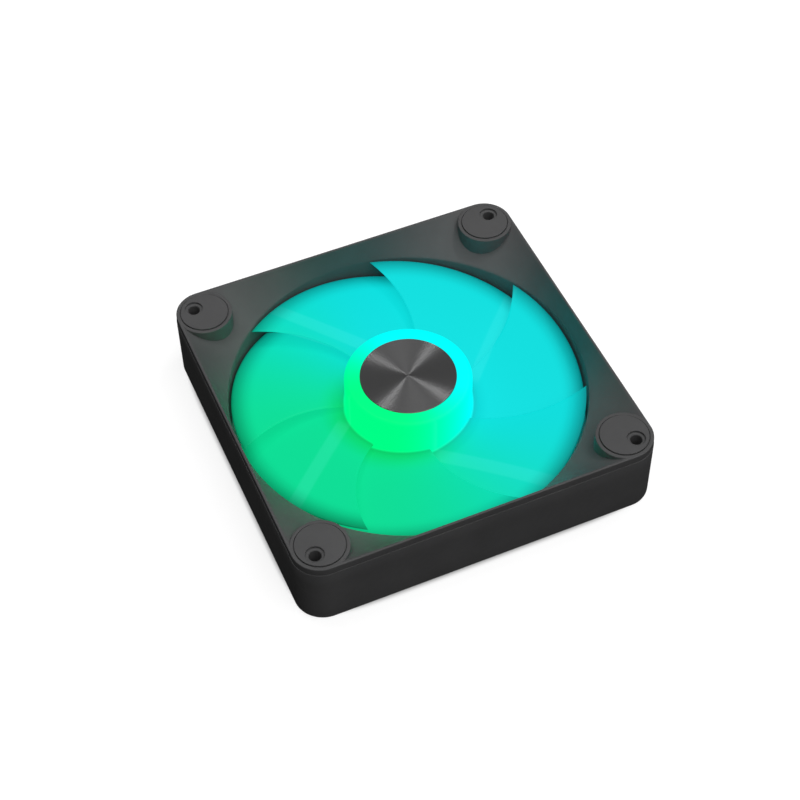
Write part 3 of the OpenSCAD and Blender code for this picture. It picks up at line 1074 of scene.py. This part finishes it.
def make_driver_chip(body_material, leg_material):
    """A package with four bent legs along each of two sides."""
    angle, radius = DRIVER_PLACE
    long, wide, high = DRIVER_SIZE
    lift = 0.12 * MM
    size = (long * 0.72, wide, high - lift)
    body = turned(block("driver_body", size, (radius, 0, BOARD_TOP + lift), 0.1 * MM), angle)
    foot = (long * 0.14, 0.4 * MM, 0.15 * MM)
    knee = (0.16 * MM, 0.4 * MM, 0.55 * MM)
    pitch = wide / 4.4
    legs = []
    for side in (-1, 1):
        outer = radius + side * long * 0.43
        inner = radius + side * long * 0.37
        for step in (-1.5, -0.5, 0.5, 1.5):
            y = step * pitch
            legs.append(block("foot", foot, (outer, y, BOARD_TOP), 0.04 * MM))
            legs.append(block("knee", knee, (inner, y, BOARD_TOP + foot[2]), 0.04 * MM))
    finish_piece(bevelled(body, 0.12 * MM), "housing", "chip", body_material, "driver_chip")
    driver_legs = turned(merged("driver_legs", legs), angle)
    finish_piece(driver_legs, "housing", "chip", leg_material, "driver_chip")


def make_board_parts(body_material, end_material):
    """Resistors and capacitors: a coated body between two tinned ends."""
    bodies = []
    ends = []
    for angle, radius, size in BOARD_PARTS:
        long, wide, high = size
        middle = (long * 0.94, wide * 0.6, high * 0.95)
        bodies.append(turned(block("part", middle, (radius, 0, BOARD_TOP), 0.05 * MM), angle))
        for side in (-0.4, 0.4):
            end = block("end", (long, wide * 0.2, high), (radius, side * wide, BOARD_TOP), 0.04 * MM)
            ends.append(turned(end, angle))
    pieces = (("part_bodies", bodies, body_material), ("part_ends", ends, end_material))
    for name, parts, material in pieces:
        piece = bevelled(merged(name, parts), 0.05 * MM)
        finish_piece(piece, "housing", "board_parts", material, "board_parts")


# ---- materials ----

GREEN_SIDE = math.radians(207)
HUB_BLUE = 0.246
GLOW_RANGE = (-0.6, 0.95)
BLADE_BLUE = 0.42
RED_SHARE = 0.006
HUB_BASE = 0.06
BLADE_BASE = 0.14
BLUE_REACH = 11 * MM
RED_REACH = 1 * MM
BASE_REACH = 3 * MM
# Painted light over the struts: lighter, paler, slightly redder bands on the blades, as if the lit struts
# showed through.
PAINTED_BAND_EDGE = (2.1 * MM, 3.2 * MM)
PAINTED_BAND_START = (15.5 * MM, 20 * MM)
PAINTED_BAND_LIGHT = 0.05
PAINTED_BAND_TINT = 0.08
PAINTED_BAND_RED = 0.012
LENS_GLOW = [(0, 2.5), (1, 2.5)]

# The rotor's glow, as (share of the tip radius, strength): bright hub, even blades, dark tips. The dip
# just past the hub is a painted contact shadow; the fall at the tips is painted shade from the bore's
# edge, partly a real fall of the diodes' light.
ROTOR_GLOW_AND_PAINTED_SHADE = [
    (0, 0.96), (0.364, 0.96), (0.374, 0.53), (0.45, 0.58), (0.87, 0.575),
    (0.892, 0.55), (0.926, 0.45), (0.949, 0.35), (0.983, 0.21), (1, 0.11),
]


def greenness(angle):
    """How green the glow is at an angle round the hub, from 0, cyan, to 1, as glow_tint has it."""
    share = (math.cos(angle - GREEN_SIDE) - GLOW_RANGE[0]) / (GLOW_RANGE[1] - GLOW_RANGE[0])
    share = min(1, max(0, share))
    return share * share * (3 - 2 * share)


def glow_color(angle):
    return (RED_SHARE, 1, 1 - greenness(angle) * (1 - BLADE_BLUE))


# The painted shadow under the fan: where the floor's glow turns on, as shares of the half width, and its
# corners' roundness.
def flat_length(tree, coords):
    """The part of coords that points away from the spin axis, and its length."""
    flat = vector_node(tree, "MULTIPLY", coords, (1, 1, 0))
    return flat, vector_measure(tree, "LENGTH", flat)


def painted_strut_bands(tree, flat):
    """How far a point lies over a strut, from 0 to 1: painted light of the struts that show faintly
    through the blades.
    """
    total = 0
    for degrees in STRUT_ANGLES:
        angle = math.radians(degrees)
        along = vector_measure(tree, "DOT_PRODUCT", flat, (*polar(1, angle), 0))
        across = vector_measure(tree, "DOT_PRODUCT", flat, (-math.sin(angle), math.cos(angle), 0))
        offset = math_node(tree, "ADD", across, STRUT_OFFSET)
        away = math_node(tree, "ABSOLUTE", offset)
        over = map_range(tree, away, *PAINTED_BAND_EDGE, 1, 0)
        reach = map_range(tree, along, *PAINTED_BAND_START, 0, 1)
        total = math_node(tree, "ADD", math_node(tree, "MULTIPLY", over, reach), total)
    return total


def past_hub(tree, radius, reach, inner, outer):
    """A value that goes from inner at the hub's side to outer at that reach past it."""
    return map_range(tree, radius, HUB_R, HUB_R + reach, inner, outer)


def glow_tint(tree, flat, radius, painted_band):
    """The glow's colour: cyan on one side of the hub, green on the other, and paler over the struts as
    painted light.
    """
    green_axis = (*polar(1, GREEN_SIDE), 0)
    facing = vector_measure(tree, "DOT_PRODUCT", vector_node(tree, "NORMALIZE", flat), green_axis)
    green = map_range(tree, facing, *GLOW_RANGE, 0, 1)
    depth = past_hub(tree, radius, BLUE_REACH, 1 - HUB_BLUE, 1 - BLADE_BLUE)
    missing_blue = math_node(tree, "MULTIPLY", green, depth)
    paler = math_node(tree, "MULTIPLY_ADD", painted_band, -PAINTED_BAND_TINT, 1)
    missing_blue = math_node(tree, "MULTIPLY", missing_blue, paler)
    red = past_hub(tree, radius, RED_REACH, 0, RED_SHARE)
    painted_band_red = math_node(tree, "MULTIPLY", painted_band, PAINTED_BAND_RED)
    red = math_node(tree, "ADD", red, painted_band_red)
    color = tree.nodes.new("ShaderNodeCombineColor")
    set_inputs(color, Red=red, Green=1, Blue=math_node(tree, "SUBTRACT", 1, missing_blue))
    return color.outputs["Color"]


def glow_strength(tree, radius, painted_band, stops):
    """The glow's strength by share of the tip radius, with painted light a little stronger over the
    struts.
    """
    share = map_range(tree, radius, 0, TIP_R, 0, 1, smooth=False)
    level = ramp(tree, share, [(position, (strength,) * 3) for position, strength in stops])
    brighter = math_node(tree, "MULTIPLY_ADD", painted_band, PAINTED_BAND_LIGHT, 1)
    return math_node(tree, "MULTIPLY", level, brighter)


def glow_material(name, strength_stops, roughness):
    """Milky plastic lit from inside.

    The colour follows the ring of diodes, which stands still while the rotor turns."""
    material, tree, shader = new_material(name)
    flat, radius = flat_length(tree, tree.nodes.new("ShaderNodeNewGeometry").outputs["Position"])
    # Painted light: bands on the blades where the struts lie beneath them.
    painted_band = painted_strut_bands(tree, flat)
    color = glow_tint(tree, flat, radius, painted_band)
    strength = glow_strength(tree, radius, painted_band, strength_stops)
    set_inputs(shader, Emission_Color=color, Emission_Strength=strength)
    # Painted light: the base colour takes the diodes' cyan and green from the glow, and is darker at the
    # hub.
    painted_glow_base = add_node(tree, "ShaderNodeVectorMath", operation="SCALE")
    set_inputs(painted_glow_base, Vector=color, Scale=past_hub(tree, radius, BASE_REACH, HUB_BASE, BLADE_BASE))
    set_inputs(shader, Base_Color=painted_glow_base.outputs["Vector"])
    set_inputs(shader, Roughness=roughness, Specular_IOR_Level=0.03)
    bump(tree, shader, noise(tree, object_coords(tree), scale=900), 0.05, GRAIN_DEPTH)
    return material


DISC_DARK = (0.098, 0.098, 0.099)
DISC_LIGHT = (0.122, 0.122, 0.123)
MASK_DARK = (0.012, 0.07, 0.032)
MASK_LIGHT = (0.02, 0.13, 0.05)
WIRE_DARK = (0.42, 0.13, 0.04)
WIRE_LIGHT = (0.62, 0.22, 0.07)
FILM_DARK = (0.018, 0.018, 0.02)
PRINT_LIGHT = (0.42, 0.43, 0.44)
PRINT_R = LABEL_R - 2 * MM
PRINT_EDGE = (0.25 * MM, 0.32 * MM)
TRACK_PITCH = 2.4 * MM
TRACK_EDGE = (0.1, 0.3)


def disc_material():
    """Dark anodised aluminium, turned so that fine circles run round the centre."""
    material, tree, shader = new_material("turned_aluminium")
    radius = flat_length(tree, object_coords(tree))[1]
    lines = line_noise(tree, radius, scale=9000, detail=4)
    two_tones(tree, shader, lines, DISC_DARK, DISC_LIGHT)
    uneven_roughness(tree, shader, lines, 0.29, 0.35)
    tangent = add_node(tree, "ShaderNodeTangent", direction_type="RADIAL", axis="Z")
    set_inputs(shader, Tangent=tangent.outputs["Tangent"])
    set_inputs(shader, Metallic=0.62, Anisotropic=1, Anisotropic_Rotation=0.25)
    bump(tree, shader, lines, 0.12, DISC_LINE_DEPTH)
    return material


def brushed_metal(name, dark, light, roughness, lines):
    """Turned or drawn metal: lines of (scale, strength) run round the spin axis, stacked along Z."""
    material, tree, shader = new_material(name)
    scale, strength = lines
    texture = line_noise(tree, object_parts(tree)["Z"], scale, detail=3)
    two_tones(tree, shader, texture, dark, light)
    uneven_roughness(tree, shader, texture, roughness, roughness + 0.1)
    set_inputs(shader, Metallic=1)
    bump(tree, shader, texture, strength, LINE_DEPTH)
    return material


def board_material():
    """Green solder mask over copper tracks that run in rings, with a fine glass-cloth grain."""
    material, tree, shader = new_material("circuit_board_mask")
    coords = object_coords(tree)
    radius = flat_length(tree, coords)[1]
    turns = math_node(tree, "MULTIPLY", radius, math.tau / TRACK_PITCH)
    wave = math_node(tree, "SINE", turns)
    tracks = map_range(tree, wave, *TRACK_EDGE, 0, 1)
    two_tones(tree, shader, tracks, MASK_DARK, MASK_LIGHT, ends=(0, 1))
    grain = noise(tree, coords, scale=3000)
    uneven_roughness(tree, shader, grain, 0.28, 0.4)
    height = math_node(tree, "ADD", tracks, math_node(tree, "MULTIPLY", grain, 0.2))
    bump(tree, shader, height, 0.4, LINE_DEPTH)
    return material


def wire_material():
    """Enamelled copper: a clear lacquer over metal in two close tones."""
    material, tree, shader = new_material("enamelled_wire")
    coords = object_coords(tree)
    two_tones(tree, shader, noise(tree, coords, scale=300), WIRE_DARK, WIRE_LIGHT)
    uneven_roughness(tree, shader, noise(tree, coords, scale=2000), 0.22, 0.34)
    set_inputs(shader, Metallic=0.9, Coat_Weight=0.6, Coat_Roughness=0.12)
    return material


def label_material():
    """A dark film sticker with a plain printed ring near its edge."""
    material, tree, shader = new_material("film_label")
    coords = object_coords(tree)
    radius = flat_length(tree, coords)[1]
    offset = math_node(tree, "SUBTRACT", radius, PRINT_R)
    away = math_node(tree, "ABSOLUTE", offset)
    ring = map_range(tree, away, *PRINT_EDGE, 1, 0)
    two_tones(tree, shader, ring, FILM_DARK, PRINT_LIGHT, ends=(0, 1))
    uneven_roughness(tree, shader, noise(tree, coords, scale=700), 0.3, 0.42)
    bump(tree, shader, noise(tree, coords, scale=120), 0.1, FILM_DEPTH)
    return material


def paint_cad_nodes(materials):
    """Gives each CAD node that stays its own material."""
    for material, names in materials:
        for name in names:
            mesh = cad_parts[name].data
            mesh.materials.clear()
            mesh.materials.append(material)


def floor_glow_with_painted_shadow(tree):
    """The floor's glow, which is off where the fan stands, inside a square with rounded corners: a painted
    shadow under the fan.
    """
    parts = object_parts(tree)
    powers = []
    for axis in ("X", "Y"):
        side = math_node(tree, "ABSOLUTE", parts[axis])
        share = math_node(tree, "DIVIDE", side, HALF_W)
        powers.append(math_node(tree, "POWER", share, CORNER_EXPONENT))
    total = math_node(tree, "ADD", *powers)
    reach = math_node(tree, "POWER", total, 1 / CORNER_EXPONENT)
    return map_range(tree, reach, *PAINTED_SHADOW_EDGE, 0, FLOOR_GLOW)


def make_stage():
    """A pale floor that curves up into a pale wall. It lights nothing, so the fan's sides stay dark."""
    arc = []
    for step in range(SWEEP_STEPS + 1):
        angle = math.pi / 2 * step / SWEEP_STEPS
        rise = SWEEP_BEND * (1 - math.cos(angle))
        arc.append((SWEEP_R + SWEEP_BEND * math.sin(angle), FLOOR_Z + rise))
    wall = SWEEP_R + SWEEP_BEND
    back = wall + SWEEP_T
    profile = [(0, FLOOR_Z), *arc, (wall, SWEEP_H), (back, SWEEP_H), (back, -SWEEP_T), (0, -SWEEP_T)]
    floor = smooth_by_angle(lathe("studio_sweep", profile, 128))
    material, tree, shader = new_material("pale_backdrop")
    set_inputs(shader, Base_Color=(FLOOR_BASE, FLOOR_BASE, FLOOR_BASE, 1), Emission_Color=(1, 1, 1, 1))
    set_inputs(shader, Roughness=FLOOR_ROUGHNESS, Specular_IOR_Level=FLOOR_SPECULAR)
    # The glow is off under the fan, as a painted shadow.
    set_inputs(shader, Emission_Strength=floor_glow_with_painted_shadow(tree))
    floor.data.materials.append(material)
    floor.visible_diffuse = False
    floor.visible_glossy = False
    floor.visible_transmission = False
    floor.visible_shadow = False


# ---- build ----

make_camera()
make_lights()
make_stage()

plastic = grainy(
    "black_plastic", (0.061, 0.061, 0.062), (0.069, 0.069, 0.07),
    roughness=0.6, grain=(2500, 0.15), specular=0.15,
)
rubber = grainy(
    "grey_rubber", (0.063, 0.063, 0.064), (0.069, 0.069, 0.07),
    roughness=0.7, grain=(1800, 0.1), specular=0.15,
)
glow = glow_material("lit_plastic", ROTOR_GLOW_AND_PAINTED_SHADE, roughness=0.45)
frame_pieces = [make_frame(plastic), *make_pads(rubber)]
make_spill_lights(frame_pieces)
make_impeller(glow)
make_hub_disc(disc_material())

tin = brushed_metal(
    "tinned_metal", (0.5, 0.5, 0.49), (0.66, 0.66, 0.64), roughness=0.3, lines=(4000, 0.1)
)
package = grainy(
    "moulded_package", (0.012, 0.012, 0.013), (0.02, 0.02, 0.021), roughness=0.5, grain=(3000, 0.2)
)
ceramic = grainy("ceramic_body", (0.16, 0.1, 0.055), (0.24, 0.16, 0.09), roughness=0.45, grain=(2500, 0.1))
nylon = grainy("white_nylon", (0.62, 0.61, 0.56), (0.7, 0.69, 0.64), roughness=0.45, grain=(1500, 0.1))
wire = wire_material()
for number in range(1, 5):
    wound_coil(f"coil_{number}", wire)
make_leds(nylon, glow_material("diode_lens", LENS_GLOW, roughness=0.2))
make_hall_sensor(package, tin)
make_driver_chip(package, tin)
make_board_parts(ceramic, tin)
brass = brushed_metal("brass", (0.5, 0.34, 0.12), (0.66, 0.47, 0.2), roughness=0.25, lines=(3000, 0.2))
bronze = grainy(
    "sintered_bronze", (0.2, 0.12, 0.055), (0.34, 0.21, 0.1),
    roughness=0.42, grain=(5000, 0.6), metallic=0.9,
)
ground = brushed_metal(
    "ground_steel", (0.5, 0.5, 0.52), (0.62, 0.62, 0.64), roughness=0.16, lines=(8000, 0.1)
)
drawn = brushed_metal(
    "drawn_steel", (0.36, 0.37, 0.39), (0.5, 0.51, 0.53), roughness=0.34, lines=(900, 0.15)
)
sheets = brushed_metal(
    "laminated_steel", (0.2, 0.2, 0.21), (0.42, 0.42, 0.44), roughness=0.36, lines=(2600, 0.9)
)
ferrite = grainy(
    "bonded_ferrite", (0.03, 0.027, 0.025), (0.055, 0.05, 0.047), roughness=0.6, grain=(4000, 0.5)
)
acetal = grainy(
    "low_friction_plastic", (0.6, 0.57, 0.48), (0.68, 0.65, 0.56), roughness=0.35, grain=(1200, 0.08)
)
paint_cad_nodes([
    (brass, ("bearing_tube", "shaft_bushing")),
    (tin, ("terminal_pins",)),
    (bronze, ("sleeve_bearing",)),
    (ground, ("shaft", "lock_ring")),
    (drawn, ("yoke",)),
    (sheets, ("stator_core",)),
    (ferrite, ("ring_magnet",)),
    (nylon, ("upper_insulator", "lower_insulator")),
    (acetal, ("thrust_pad", "oil_seal")),
    (package, ("rear_cap",)),
    (board_material(), ("circuit_board",)),
    (label_material(), ("rear_label",)),
])

bpy.context.scene.view_settings.view_transform = "Standard"
